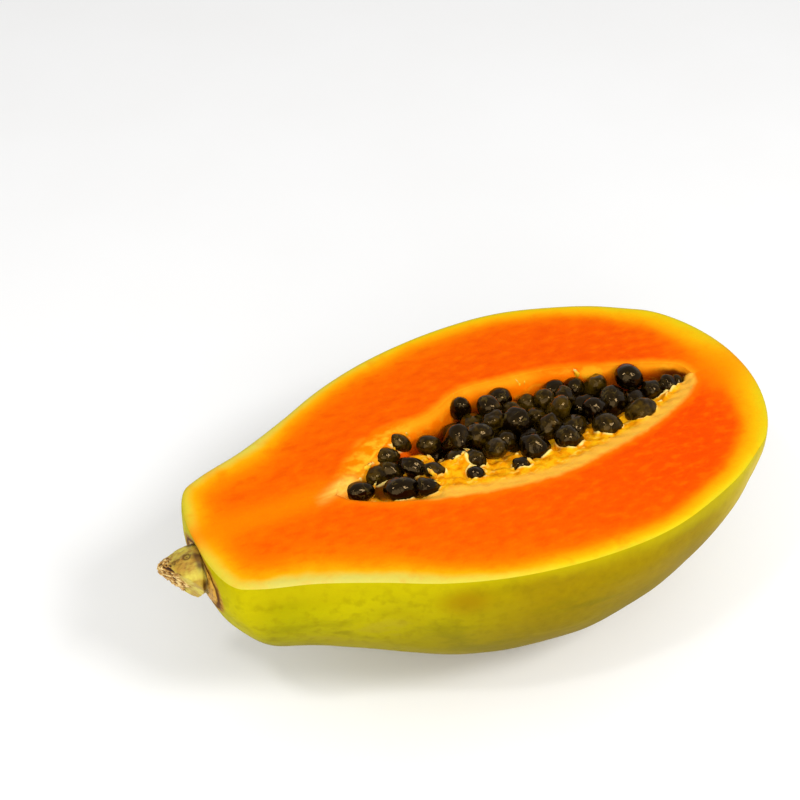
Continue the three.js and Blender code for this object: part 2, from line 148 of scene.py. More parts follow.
def curve(points):
    """A smooth curve through points given by rising x, as a function of x."""
    xs, ys = np.array(points, float).T
    slopes = np.gradient(ys, xs)
    slopes[1:-1] = (ys[2:] - ys[:-2]) / (xs[2:] - xs[:-2])

    def height(x):
        i = np.clip(np.searchsorted(xs, x) - 1, 0, len(xs) - 2)
        width = xs[i + 1] - xs[i]
        t = np.clip((x - xs[i]) / width, 0, 1)
        ends = ys[i] * eased(1 - t) + ys[i + 1] * eased(t)
        bends = slopes[i] * t * (1 - t) ** 2 + slopes[i + 1] * t * t * (t - 1)
        return ends + bends * width

    return height


half_width = curve(HALF_WIDTH)
axis_drop = curve(AXIS_DROP)
far_lip = curve(FAR_LIP)
near_lip = curve(NEAR_LIP)
hollow_depth = curve(HOLLOW_DEPTH)
hollow_section = curve(HOLLOW_SECTION)
tip_section = curve(TIP_SECTION)
far_wall_at = curve(FAR_WALL)
heap_near_edge = curve(HEAP_NEAR_EDGE)
HOLLOW_FROM = FAR_LIP[0][0]
HOLLOW_TO = FAR_LIP[-1][0]


def rounding(share, squareness):
    """Falls from 1 to 0 over the last stretch before an end, as a rounded shoulder does."""
    return (1 - (1 - np.clip(share, 0, 1)) ** squareness) ** (1 / squareness)


def skin_radius(x, angle):
    """How far the skin lies from the fruit's axis, at an angle from straight down."""
    down = np.maximum(0, np.cos(angle))
    softer = STEM_END_ROUNDING_BELOW - STEM_END_ROUNDING
    shoulder = STEM_END_ROUNDING + softer * down**SHOULDER_TURN
    ends = rounding(x / shoulder, STEM_END_SQUARENESS)
    ends = ends * rounding((LENGTH - x) / BLOSSOM_END_ROUNDING, BLOSSOM_END_SQUARENESS)
    ribs = 1 + RIB_HEIGHT * down * np.cos(RIB_COUNT * angle)
    return np.hypot(half_width(x), axis_drop(x)) * ends * ribs


def on_skin(around, below):
    """Where a line from the middle of the cut face meets the skin: around it, and this far down."""
    middle = np.array((LENGTH / 2, 0, 0))
    way = np.stack([
        -np.cos(around) * np.cos(below) * SKIN_REACH[0],
        np.sin(around) * np.cos(below) * SKIN_REACH[1],
        -np.sin(below) * SKIN_REACH[2] * np.ones_like(around),
    ], -1)
    inside, outside = np.zeros(way.shape[:-1]), np.full(way.shape[:-1], BEYOND_SKIN)
    for _ in range(HALVINGS):
        tried = (inside + outside) / 2
        x, y, z = np.moveaxis(middle + way * tried[..., None], -1, 0)
        height = z + axis_drop(x)
        within = np.hypot(y, height) < skin_radius(x, np.arctan2(y, -height))
        inside = np.where(within, tried, inside)
        outside = np.where(within, outside, tried)
    points = middle + way * inside[..., None]
    radius = np.hypot(points[..., 1], points[..., 2] + axis_drop(points[..., 0]))
    dimple = DIMPLE_DEPTH * np.maximum(0, 1 - (radius / DIMPLE_RADIUS) ** 2) ** 2
    points[..., 0] += np.where(points[..., 0] < LENGTH / 2, dimple, 0)
    return points


def across_hollow(x, y):
    """How far across the hollow a place lies, from its near lip (0) to its far lip (1)."""
    breadth = np.maximum(far_lip(x) + near_lip(x), 1e-6)
    return np.clip((y + near_lip(x)) / breadth, 0, 1)


def lining(x, y):
    """The height of the hollow's lining at a place inside the lip."""
    across = across_hollow(x, y)
    a, b, c, d = LINING_WAVES
    raised = LINING_RELIEF * np.sin(a * x + b * y) * np.sin(d * y - c * x + 1)
    for station, offset, height, length, breadth in LINING_MOUNDS:
        raised += height * hump(x - station, length) * hump(y - offset, breadth)
    wall = np.minimum(far_wall_at(x), 1)
    under = np.minimum(across / wall, 1)
    tip, rest = tip_section(under), hollow_section(under)
    section = tip + eased(between(x, *TIP_BLEND)) * (rest - tip)
    slope = FAR_SLOPE * np.minimum(1 - across, 1 - wall) * np.minimum(4 * across, 1)
    return -hollow_depth(x) * section - slope + 4 * across * (1 - across) * raised


def add_layer(mesh, name, values):
    """Keeps a number for each point of a mesh, for its material to read."""
    layer = mesh.attributes.new(name, "FLOAT", "POINT")
    layer.data.foreach_set("value", values)


def begin_with(primitive, **sizes):
    """A new object from a primitive, with nothing else selected."""
    bpy.ops.object.select_all(action="DESELECT")
    primitive(**sizes)
    return bpy.context.object


def edit_whole(operator, **settings):
    """Runs an operator of edit mode on the whole of the newest piece."""
    bpy.ops.object.mode_set(mode="EDIT")
    bpy.ops.mesh.select_all(action="SELECT")
    operator(**settings)
    bpy.ops.object.mode_set(mode="OBJECT")


# The mesh: one ball drawn over the fruit, its poles in the hollow and under the back. Its rings
# run up the lining, out over the cut face, over the cut edge of the skin and down to the back.
SIDES = 400
LINING_RINGS = 112
FACE_RINGS = 36
SKIN_RINGS = 76
RIM_RING = LINING_RINGS + FACE_RINGS
RINGS = RIM_RING + SKIN_RINGS
LINING_CROWDING = 1.6  # the lining's rings lie closer by the lip, where the far wall is steep
SKIN_CROWDING = 1.15  # and the skin's lie closer by the rim
HOLLOW_MIDDLE = (91.5, 4)
CUT_EDGE = 0.35  # how far the edge that the knife left on the skin is worn down
CUT_EDGE_BREADTH = 1.2

half = begin_with(bpy.ops.mesh.primitive_uv_sphere_add, segments=SIDES, ring_count=RINGS)
half.name = half.data.name = "papaya_flesh_and_skin"
ball = np.empty(len(half.data.vertices) * 3)
half.data.vertices.foreach_get("co", ball)
ball = ball.reshape(-1, 3)
ring = np.rint(np.arccos(np.clip(ball[:, 2], -1, 1)) / math.pi * RINGS).astype(int)
around = np.arctan2(ball[:, 1], -ball[:, 0])

lip_x = (HOLLOW_FROM + HOLLOW_TO) / 2 - (HOLLOW_TO - HOLLOW_FROM) / 2 * np.cos(around)
lip_y = np.where(around >= 0, far_lip(lip_x), -near_lip(lip_x))
rim = on_skin(around, np.zeros(len(around)))

# the lining
share = between(ring, LINING_RINGS, 0) ** LINING_CROWDING
x = lip_x + (HOLLOW_MIDDLE[0] - lip_x) * share
y = lip_y + (HOLLOW_MIDDLE[1] - lip_y) * share
points = np.stack([x, y, lining(x, y)], -1)
# the cut face
share = between(ring, LINING_RINGS, RIM_RING)[:, None]
lip = np.stack([lip_x, lip_y, np.zeros(len(around))], -1)
face = lip + (rim - lip) * share
on_face = (ring > LINING_RINGS) & (ring <= RIM_RING)
points[on_face] = face[on_face]
# the skin
on_back = ring > RIM_RING
below = between(ring, RIM_RING, RINGS) ** SKIN_CROWDING * math.pi / 2
points[on_back] = on_skin(around[on_back], below[on_back])


def distance_from(members):
    """How far each point lies from the nearest of some of them."""
    tree = kdtree.KDTree(len(members))
    for i in members:
        tree.insert(points[i], i)
    tree.balance()
    return np.array([tree.find(point)[2] for point in points])


from_rim = distance_from(np.flatnonzero(ring == RIM_RING))
from_lip = distance_from(np.flatnonzero(ring == LINING_RINGS))
from_lip[ring > LINING_RINGS] *= -1

# the colour's slow change under the skin is stretched towards both ends of the fruit
x, y = points[:, 0], points[:, 1]
near_stretch = curve([
    (0, 1), (12, 1.1), (25, 1.2), (42, 1.1), (56, 0.85), (68, 0.76), (90, 0.7), (130, 0.72),
    (142, 1), (152, 1.5), (160, 1.6),
])
far_stretch = curve([
    (0, 0.9), (12, 1), (25, 1.05), (38, 0.75), (52, 0.68), (68, 0.75), (130, 0.85), (142, 1.2),
    (152, 1.6), (160, 1.6),
])
to_far = between(y, -12, 12)
depth = from_rim / (near_stretch(x) * (1 - to_far) + far_stretch(x) * to_far)
# the rim is palest on the near side of the stem end
paleness = between(x, 78, 28) * (1 - 0.4 * to_far) * np.maximum(between(x, -3, 13), 0.3)
# by the stem tip the far lip fades into the flesh
across = across_hollow(x, y)
faded = between(x, 67, 61) * between(across, 0.5, 0.7)
# a paler streak runs from each tip of the hollow to the ends of the fruit
streak = hump(y - 1.5, 5) * between(x, 46, 34) + 0.8 * hump(y, 9) * between(x, 140, 148)
# and next to the stem tip it is nearly white
tip_streak = hump(y - 1.6 - 0.35 * (x - 39), 1.7) * between(x, 32, 39) * between(x, 47, 43)


# Relief: the lining is soft, lumpy and stranded, and torn where the seeds hang on it.
LUMP_SIZE, LUMP_HEIGHT = 4.2, 0.7
STRAND_SIZE, STRAND_HEIGHT = 1.7, 0.3
PIT_SIZE, PIT_HEIGHT = 1.3, 0.25
FLUTE_SIZES, FLUTE_DEPTH = (2.6, 1.1), 0.45  # grooves that run down the far wall
RISES_WITHIN = 5  # all of it fades out towards the lip
SOCKET_GAP = 0.3  # between a seed that is half sunk in the lining and the torn rim round it
SOCKET_RIM, SOCKET_RIM_BREADTH = 0.8, 0.55
LEAST_SUNK = 0.8  # radius in the lining under which a seed has no rim
CREST_BEFORE_HEAP = 3.6  # a torn edge runs in front of the heap, as far from it as this
CREST_WANDER, CREST_HEIGHT, CREST_BREADTH = 3, 1.2, 0.8
CREST_FROM = (62, 68)
FOLD_PLACE = (74.6, 0.2)  # here a fold of pulp stands up in front of the heap
FOLD_HEIGHT, FOLD_LENGTH, FOLD_SLOPE = 2.4, 3.4, 7
FLAP_PLACE = (120.8, 14, -1.6)  # and here a flap of it hangs on the far wall
FLAP_SIZE, FLAP_HEIGHT = (2.6, 3, 1.9), 0.9
DENT_SIZE, DENT_DEPTH = 16, 0.5  # of the skin
RIPPLE_SIZE, RIPPLE_DEPTH = 7, 0.25
DENTS_FADE = 8  # over how many rings they die out towards the rim


def relief(points, size, stretch):
    """Smooth noise of a size in mm at each point; every use has a stretch of it for itself."""
    return np.array([noise.noise(Vector(p) / size + Vector((stretch, 0, 0))) for p in points])


inside = np.flatnonzero(ring < LINING_RINGS)
bed = points[inside]
fade = between(from_lip[inside], 0, RISES_WITHIN) ** 1.5
far = between(across[inside], 0.6, 0.75)
lumps = relief(bed, LUMP_SIZE, 5)
strands = 1 - 2 * np.abs(relief(bed * (1, 0.3, 0.3), STRAND_SIZE, 9))
pits = relief(bed, PIT_SIZE, 14)
rise = LUMP_HEIGHT * lumps + (STRAND_HEIGHT * strands + PIT_HEIGHT * pits) * (1 - 0.5 * far)
# torn rims round the seeds in front
torn = np.zeros(len(inside))
for station, offset, height, size in FRONT_SEEDS:
    apart = np.hypot(bed[:, 0] - station, bed[:, 1] - offset)
    seed_here = np.sqrt(np.maximum((size / 2) ** 2 - (bed[:, 2] - height) ** 2, 0))
    rim_here = hump(apart - seed_here - SOCKET_GAP, SOCKET_RIM_BREADTH) * (seed_here > LEAST_SUNK)
    torn = np.maximum(torn, rim_here)
torn *= np.clip(0.7 + 1.2 * pits + 0.8 * lumps, 0, 1)
# the torn edge in front of the heap
wander = CREST_WANDER * relief(bed * (1, 0.2, 0), 5, 3)
from_crest = bed[:, 1] - heap_near_edge(bed[:, 0]) + CREST_BEFORE_HEAP + wander
crest = hump(from_crest, CREST_BREADTH) * np.clip(0.3 + 2 * relief(bed, 1.9, 21), 0, 1)
crest *= between(bed[:, 0], *CREST_FROM)
# the fold: a slope towards the near lip, and a sudden end towards the heap
beside, over = bed[:, 0] - FOLD_PLACE[0], bed[:, 1] - FOLD_PLACE[1] + 1.2 * pits
slope = np.where(over < 0, between(over, -FOLD_SLOPE, 0) ** 1.5, hump(over, 1))
fold = hump(beside, FOLD_LENGTH) * slope
fold_edge = hump(beside, FOLD_LENGTH + 0.6) * hump(over + 0.1, 0.5)
bed[:, 2] += fade * (rise + SOCKET_RIM * torn + CREST_HEIGHT * crest + FOLD_HEIGHT * fold)
flutes = relief(bed * (1, 0, 0.25), FLUTE_SIZES[0], 31)
flutes += 0.5 * relief(bed * (1, 0, 0.4), FLUTE_SIZES[1], 33)
bed[:, 1] -= FLUTE_DEPTH * far * fade * flutes * (1 - faded[inside])
from_flap = np.linalg.norm((bed - FLAP_PLACE) / FLAP_SIZE, axis=1)
bed[:, 1] -= FLAP_HEIGHT * np.exp(-(from_flap**4))
points[inside] = bed
fibres = np.zeros(len(points))
fibres[inside] = np.maximum(np.maximum(torn, crest), fold_edge) * fade
# the skin's shallow dents, the flat spot that the half rests on, and the worn edge of the cut
dents = relief(points[on_back], DENT_SIZE, 2) * DENT_DEPTH
dents += relief(points[on_back] * (0.35, 1, 1), RIPPLE_SIZE, 7) * RIPPLE_DEPTH
outwards = points[on_back] - (LENGTH / 2, 0, -10)
outwards[:, 0] *= 0.3
outwards /= np.linalg.norm(outwards, axis=1)[:, None]
dents *= between(ring[on_back], RIM_RING, RIM_RING + DENTS_FADE)
points[on_back] += outwards * dents[:, None]
points[:, 2] = np.maximum(points[:, 2], RESTS_AT)
points[on_face, 2] -= between(from_rim[on_face], CUT_EDGE_BREADTH, 0) ** 2 * CUT_EDGE
half.data.vertices.foreach_set("co", in_part(points).ravel())
layers = {
    "flesh_depth": depth, "inside_lip": from_lip, "streak": streak, "tip_streak": tip_streak,
    "fibres": fibres, "paleness": paleness, "far_side": across, "faded_lip": faded,
    "height": points[:, 2],
}
for name, values in layers.items():
    add_layer(half.data, name, values)
half.data.update()
bpy.ops.object.shade_smooth()


class Shade:
    """One socket of a material, so that sums on it are written as Python expressions."""

    def __init__(self, finish, socket):
        self.finish, self.socket = finish, socket

    def math(self, operation, *values):
        return self.finish.node("ShaderNodeMath", {"operation": operation}, dict(enumerate(values)))

    def __add__(self, other):
        return self.math("ADD", self, other)

    def __sub__(self, other):
        return self.math("SUBTRACT", self, other)

    def __rsub__(self, other):
        return self.math("SUBTRACT", other, self)

    def __mul__(self, other):
        return self.math("MULTIPLY", self, other)

    def __truediv__(self, other):
        return self.math("DIVIDE", self, other)

    __radd__ = __add__
    __rmul__ = __mul__

    def rise(self, low, high):
        """0 at low, 1 at high and smooth between them, whichever of the two is larger."""
        values = {"Value": self, "From Min": low, "From Max": high}
        return self.finish.node("ShaderNodeMapRange", {"interpolation_type": "SMOOTHSTEP"}, values)


class Finish:
    """A material, and the one way in which its nodes are added."""

    def __init__(self, name, **constants):
        self.material = bpy.data.materials.new(name)
        self.material.use_nodes = True
        self.tree = self.material.node_tree
        self.shader = self.tree.nodes["Principled BSDF"]
        for socket, value in constants.items():
            self.shader.inputs[socket.replace("_", " ")].default_value = value

    def plug(self, socket, value):
        """Links a shade to a socket, or sets the socket to a plain value."""
        if isinstance(value, Shade):
            self.tree.links.new(value.socket, socket)
        else:
            socket.default_value = value

    def node(self, kind, settings, values, output=0):
        """A new node of a kind, with its settings made first, as a shade of one of its outputs."""
        node = self.tree.nodes.new(kind)
        for name, setting in settings.items():
            if name == "stops":
                ramp = node.color_ramp.elements
                while len(ramp) < len(setting):
                    ramp.new(0.5)
                for stop, (place, colour) in zip(ramp, setting):
                    stop.position, stop.color = place, colour
            else:
                setattr(node, name, setting)
        for name, value in values.items():
            self.plug(node.inputs[name], value)
        return Shade(self, node.outputs[output])

    def vector(self, operation, *values, output=0):
        values = dict(enumerate(values))
        return self.node("ShaderNodeVectorMath", {"operation": operation}, values, output)

    def where(self, scale=(1, 1, 1)):
        """Object coordinates in millimetres, stretched by a scale for each axis."""
        place = self.node("ShaderNodeTexCoord", {}, {}, "Object")
        return self.vector("MULTIPLY", place, [1000 * factor for factor in scale])

    def station(self):
        """How far along the part a point lies, in millimetres from the part's middle."""
        return self.node("ShaderNodeSeparateXYZ", {}, {0: self.where()}, "X")

    def distance(self, place, size):
        """How far a point lies from a place on the fruit, as a share of a size for each axis."""
        apart = self.vector("SUBTRACT", self.where(), in_part(place) * 1000)
        return self.vector("LENGTH", self.vector("DIVIDE", apart, size), output="Value")

    def mottle(self, size, detail=2.0, scale=(1, 1, 1)):
        """Soft noise between 0 and 1, with spots of a size in millimetres."""
        values = {"Vector": self.where(scale), "Scale": 1 / size, "Detail": detail}
        return self.node("ShaderNodeTexNoise", {}, values)

    def lines(self, breadth, size, detail, scale=(1, 1, 1)):
        """Thin lines that wander over the surface."""
        level = (self.mottle(size, detail, scale) - 0.5) * 2
        return (level * level).rise(breadth, 0)

    def attribute(self, name):
        return self.node("ShaderNodeAttribute", {"attribute_name": name}, {}, "Fac")

    def ramp(self, value, stops):
        return self.node("ShaderNodeValToRGB", {"stops": stops}, {"Fac": value})

    def mix(self, factor, first, second):
        values = {0: factor, 6: first, 7: second}
        return self.node("ShaderNodeMix", {"data_type": "RGBA"}, values, 2)

    def paint(self, colour, *coats):
        """Lays coats of colour over a first one, each as far as its mask lets it show."""
        for mask, coat in coats:
            colour = self.mix(mask, colour, coat)
        return colour

    def wear(self, **sockets):
        """Plugs these looks into the finish's shader."""
        for name, value in sockets.items():
            self.plug(self.shader.inputs[name.replace("_", " ")], value)

    def bump(self, height, depth):
        values = {"Height": height, "Distance": depth / 1000}
        self.wear(Normal=self.node("ShaderNodeBump", {}, values))


def hue(degrees, saturation, value):
    """A colour as a painter names it, in the linear numbers that a shader takes."""
    rgb = colorsys.hsv_to_rgb(degrees / 360, saturation, value)
    return (*[c / 12.92 if c <= 0.04045 else ((c + 0.055) / 1.055) ** 2.4 for c in rgb], 1)


GLOW_DEPTH = 0.002  # how deep light goes into flesh and skin
STAIN_AND_SHADE_PLACE, STAIN_AND_SHADE_SIZE = (54, 2.2, -4.5), (10, 5, 6)  # a dark patch between the loose seeds: a wet stain, deepened there by painted shade

flesh = Finish(
    "papaya_flesh", Roughness=0.45, Specular_IOR_Level=0.012, Subsurface_Weight=0.08,
    Subsurface_Scale=GLOW_DEPTH, Subsurface_Radius=(1, 0.5, 0.2),
)
station = flesh.station()
cloud = flesh.mottle(14, 3) - 0.5
fleck = flesh.mottle(3.2, 4) - 0.5
cells = flesh.mottle(2.2, 4, (0.5, 1, 1))
threads = flesh.lines(0.0035, 6, 4, (0.7, 1, 1))
clots = flesh.mottle(2.2, 5)
wisps = flesh.mottle(1.8, 4, (0.4, 0.7, 0.7))
far_side, faded_lip = flesh.attribute("far_side"), flesh.attribute("faded_lip")
under_skin = flesh.attribute("flesh_depth") + cloud * 3 + fleck * 0.8
in_from_lip = flesh.attribute("inside_lip") + fleck * 1.5

# From the skin inwards the flesh turns from yellow through orange to its full colour. Its rim is
# palest by the stem, it is reddest in the broad half, and lighter again along the hollow's lip.
broad_half = station.rise(-15, 60) * station.rise(84, 66) * (1 - far_side * 0.4)
orange = flesh.paint(
    flesh.ramp(under_skin / 20, [
        (0.0, hue(54, 0.85, 0.82)), (0.05, hue(50, 0.92, 0.88)), (0.125, hue(44, 0.97, 0.92)),
        (0.2, hue(39, 0.98, 0.93)), (0.3, hue(33, 1, 0.93)), (0.42, hue(28, 1, 0.93)),
        (0.6, hue(24.5, 1, 0.93)), (1.0, hue(23, 1, 0.92)),
    ]),
    (flesh.attribute("paleness") * under_skin.rise(3.6, 0.8) * 0.92, hue(54, 0.55, 0.82)),
    ((cloud * 1.6 + fleck * 0.6).rise(0.1, 0.7) * 0.5, hue(28, 1, 0.95)),
    ((cloud * 1.3 - fleck).rise(-0.1, -0.7) * 0.5, hue(20, 1, 0.9)),
    (broad_half * under_skin.rise(4, 9) * 0.75, hue(16.5, 1, 0.91)),
    (cells.rise(0.5, 0.68) * under_skin.rise(5, 9) * 0.28, hue(16, 1, 0.86)),
    (cells.rise(0.5, 0.32) * under_skin.rise(2, 6) * 0.35, hue(28, 1, 0.96)),
    (threads * under_skin.rise(3, 7) * 0.08, hue(28, 1, 0.98)),
    (flesh.attribute("streak") * 0.8, hue(31.5, 1, 0.95)),
    (in_from_lip.rise(-3, -0.4) * 0.4, hue(31, 1, 1)),
)
# The bed and the near wall of the hollow: clotted pulp, with painted shade that makes it redder and
# darker below, and a wet stain among the loose seeds that painted shade darkens further.
stain_and_shade = (flesh.distance(STAIN_AND_SHADE_PLACE, STAIN_AND_SHADE_SIZE) + clots * 0.9).rise(1.55, 1.05)
near_wall = flesh.paint(
    flesh.mix(clots.rise(0.35, 0.62), hue(42, 0.94, 0.98), hue(37, 0.99, 0.92)),
    (clots.rise(0.56, 0.72) * 0.75, hue(33, 1, 0.78)),
    (flesh.mottle(1.1, 3, (0.5, 1, 1)).rise(0.56, 0.7) * 0.5, hue(45, 0.66, 0.98)),
    # painted shade: redder and darker deep in the hollow
    (flesh.attribute("height").rise(-3.5, -9), hue(24, 1, 0.8)),
    (in_from_lip.rise(5, 2.5) * 0.8, hue(38.5, 0.74, 0.95)),
    (station.rise(-13, -22) * in_from_lip.rise(5, 2), hue(31, 0.98, 0.96)),
    # painted shade: the wet stain among the loose seeds, darkened further in the gaps between them
    (stain_and_shade * 0.85, hue(19, 0.95, 0.3)),
)
# The far wall: golden at the lip, with painted shade that makes it redder and darker below, darkest
# towards the blossom end; with pale wisps and a flap of torn pulp.
flap = (flesh.distance(FLAP_PLACE, FLAP_SIZE) + fleck * 1.6).rise(1.25, 0.75)
by_tip = flesh.mix(wisps.rise(0.4, 0.62), hue(30, 1, 0.98), hue(40, 0.86, 1))
far_wall = flesh.paint(
    flesh.mix(in_from_lip.rise(0.6, 4), hue(34.5, 0.93, 1), hue(28, 1, 1)),
    (station.rise(27, 34) * station.rise(52, 45) * 0.7, hue(26, 1, 0.98)),
    # painted shade: redder and darker deeper down the wall
    (in_from_lip.rise(5, 10), hue(18, 1, 0.85)),
    # painted shade: dark red on the wall behind the seeds towards the blossom end
    (station.rise(44, 58) * in_from_lip.rise(1.5, 5) * 0.8, hue(15, 1, 0.5)),
    (faded_lip * in_from_lip.rise(8, 5), by_tip),
    (wisps.rise(0.5, 0.75) * 0.5, hue(38, 0.88, 1)),
    (flap * 0.75, hue(39, 0.9, 1)),
)
# painted shade: dark red-brown pulp among the seeds at the hollow's blossom-end tip
tip_shade = station.rise(60, 66) * (in_from_lip + clots).rise(1.6, 3.2)
pulp = flesh.paint(
    near_wall,
    (far_side.rise(0.6, 0.8), far_wall),
    (tip_shade * far_side.rise(0.3, 0.55) * 0.85, hue(12, 0.95, 0.24)),
    (flesh.attribute("fibres").rise(0.3, 0.9), hue(45, 0.5, 0.98)),
)
# The lip is a soft edge, softest on the far side, and it is lost by the stem tip.
softness = far_side.rise(0.5, 0.7) * 1.2
in_hollow = (in_from_lip + softness * 0.4).rise(-1.1 - softness, 0.8 + softness)
in_hollow = in_hollow + faded_lip * (in_from_lip.rise(-3.5, 3.5) - in_hollow)
pale_tip = flesh.attribute("tip_streak") * (flesh.mottle(1.4, 3, (0.25, 1, 1)) * 2 - 0.2)
flesh.wear(Base_Color=flesh.paint(orange, (in_hollow, pulp), (pale_tip, hue(41, 0.66, 1))))
flesh.bump(flesh.mottle(0.9, 4) + flesh.mottle(5, 2) * 2, 0.12)

# A corky scar round the stem, and a brown bruise on the near side: place and half size.
SCAR_PLACE, SCAR_SIZE = (2, -2.8, -8.3), (8, 12, 7.6)
BRUISE_PLACE, BRUISE_SIZE = (53.7, -41, -6), (8, 14, 5)

skin = Finish(
    "papaya_skin", Roughness=0.5, Specular_IOR_Level=0.02, Subsurface_Weight=0.02,
    Subsurface_Scale=GLOW_DEPTH,
)
along = skin.station()
patches = skin.mottle(22, 3, (0.6, 1, 1))
speckle = skin.mottle(2.4, 5)
streaks = skin.mottle(6, 4, (0.25, 1, 1))
below_cut = skin.attribute("height") + patches * 10 - 5
low = below_cut.rise(-8, -17)
bruise = (skin.distance(BRUISE_PLACE, BRUISE_SIZE) + patches + speckle * 0.5).rise(1.9, 0.7)
rind = skin.paint(
    # greener by the stem, golden in the middle and paler towards the blossom end; at the stem end,
    # which faces away from the lamps, painted light makes it paler too
    skin.mix(along.rise(-44, 2), hue(56, 1, 0.72), hue(49.5, 1, 0.58)),
    (along.rise(-45, -62), hue(57, 1, 0.66)),
    # painted light: the stem end lighter where the lamps leave it in shade
    (along.rise(-62, -73) * 0.8, hue(57, 0.98, 0.84)),
    (along.rise(42, 72), hue(52, 0.88, 0.8)),
    # mottled, with streaks that run along the fruit
    (patches.rise(0.42, 0.68) * 0.35, hue(50, 1, 0.54)),
    (streaks.rise(0.48, 0.7) * 0.2, hue(57, 1, 0.49)),
    (speckle.rise(0.46, 0.7) * 0.28, hue(49, 1, 0.46)),
    (speckle.rise(0.48, 0.3) * 0.15, hue(54, 1, 0.66)),
    # more marked below and paler along the cut towards the blossom end; painted shade makes it
    # darker below, and painted light brighter just under the cut
    (streaks.rise(0.48, 0.64) * low * 0.27, hue(56, 1, 0.38)),
    (streaks.rise(0.42, 0.34) * low * 0.35, hue(50, 0.76, 0.68)),
    (along.rise(10, 40) * low * patches.rise(0.35, 0.6) * 0.5, hue(43, 0.66, 0.62)),
    (along.rise(48, 66) * below_cut.rise(-1, -8) * 0.5, hue(49, 0.62, 0.82)),
    # painted shade: darker towards the bottom
    (below_cut.rise(-3, -30) * 0.58, hue(53, 1, 0.43)),
    # painted light: brighter just under the cut
    (below_cut.rise(-6, -0.5) * 0.5, hue(55, 0.98, 0.74)),
    (bruise * 0.55, hue(40, 1, 0.54)),
)
from_scar = skin.distance(SCAR_PLACE, SCAR_SIZE) + speckle * 0.2
cork_grain = skin.mottle(1.2, 3, (1, 0.4, 1)).rise(0.4, 0.7)
corky = skin.paint(
    skin.mix(cork_grain, hue(41, 0.76, 0.74), hue(36, 0.85, 0.56)),
    (from_scar.rise(0.9, 0.96) * from_scar.rise(1.08, 1), hue(32, 0.92, 0.38)),
)
skin.wear(Base_Color=skin.mix(from_scar.rise(1.2, 1.08), rind, corky))
skin.bump(skin.mottle(1.1, 3) + patches * 3, 0.08)

half.data.materials.append(flesh.material)
half.data.materials.append(skin.material)
face_ring = np.array([max(ring[v] for v in polygon.vertices) for polygon in half.data.polygons])
half.data.polygons.foreach_set("material_index", (face_ring > RIM_RING).astype(int))
edit_whole(bpy.ops.mesh.normals_make_consistent, inside=False)
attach(half, "root")
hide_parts("papaya_half")


# ---- The seeds ---------------------------------------------------------------
# Ripe papaya seeds: near-black, each in a wet, wrinkled, see-through coat that shines. They grow
# on short stalks all over the lining, and lie heaped in the hollow when the fruit is cut.

SEED_SIZE = (5.6, 8)
SEED_FINENESS = 4
SEED_FORM = (1.1, 1.0, 0.94)  # length, breadth and thickness
SEED_TAPER = 0.1  # towards the tip
# Six seeds are modelled: how deep each is wrinkled, and how deep it is dented.
SEED_KINDS = [(0.015, 0.1), (0.035, 0.14), (0.025, 0.2), (0.04, 0.08), (0.012, 0.06), (0.03, 0.26)]
SEED_DRAW = 76553646
# The heap is laid in rows across the hollow.
SEED_ROWS = (72.6, 143)
SEED_ROW_STEP = 5.4
SEED_STEP = 5.9
SEED_OVERRUN = 1  # a row may run this far over the heap's far edge
SEED_JITTER = 1.1
SEED_SKIP = 0.04  # share of the places that stay empty
BARE_OVER = 1  # a seed is left out where the lining comes up as near to its middle as this
HEAP_FAR_MARGIN = 3.2
HEAP_LEVEL = -3.2  # height of the seeds' middles along the near edge
HEAP_FALL = 3  # and how much lower they lie by the far wall, between the mounds
HEAP_MOUNDS = [(87, 2.6), (109, 2.6)]  # station and height
HEAP_MOUND_LENGTH = 7
SEEDS_TOUCH = 0.93  # they are pushed apart to this share of their two radii
SETTLING_ROUNDS = 40
SETTLING_RISE = 1.5  # but at most this far off their level
# Under the upper seeds the next ones lie, in rows of their own.
UNDER_ROWS = (70.6, 139)
UNDER_LEVEL = -5
UNDER_STEP = 6.2
UNDER_SHIFT = 3
UNDER_FAR_MARGIN = 5
UNDER_SIZE = 7
BEHIND_FOLD = (5, 9)  # none lies as near to the fold of pulp as this, along and across
LONG_BEFORE, LONG_SEED = 68, 1.22  # the loose seeds by the stem tip are longer than the rest
LONGER_BY = 0.12  # at most, for the others
LIE = -25  # the way that the seeds in front lie, in degrees from the fruit's length
LIE_TURN, LIE_TIP = 0.15, 0.12  # how far they differ from it, as shares of a free turn


def draws(start):
    """Random draws between 0 and 1 that come out the same each time."""
    state = start
    while True:
        state = state * 48271 % 2147483647
        yield state / 2147483647


def part_way(limits, share):
    """What lies at a share of the way from the first limit to the second."""
    return limits[0] + (limits[1] - limits[0]) * share


def jitter(draw):
    return (2 * next(draw) - 1) * SEED_JITTER


def heap(x, y):
    """The height of the seeds' centres over a place in the heap."""
    near = heap_near_edge(x)
    share = min(max((y - near) / max(far_lip(x) - HEAP_FAR_MARGIN - near, 1), 0), 1)
    mounds = sum(height * hump(x - at, HEAP_MOUND_LENGTH) for at, height in HEAP_MOUNDS)
    return HEAP_LEVEL - (HEAP_FALL - mounds) * share


def settle(seeds):
    """Pushes seeds apart that come too close, as soft coats settle."""
    for i, a in enumerate(seeds):
        for b in seeds[:i]:
            apart = a["at"] - b["at"]
            wanted = SEEDS_TOUCH * (a["radius"] + b["radius"])
            if apart.length >= wanted:
                continue
            push = apart * ((wanted - apart.length) / apart.length / 2)
            if not a["fixed"]:
                a["at"] += push
            if not b["fixed"]:
                b["at"] -= push
    for seed in seeds:
        if not seed["fixed"]:
            at = seed["at"]
            at.y = min(at.y, far_lip(at.x) - seed["radius"])
            level = heap(at.x, at.y)
            at.z = min(max(at.z, level - SETTLING_RISE), level + SETTLING_RISE)


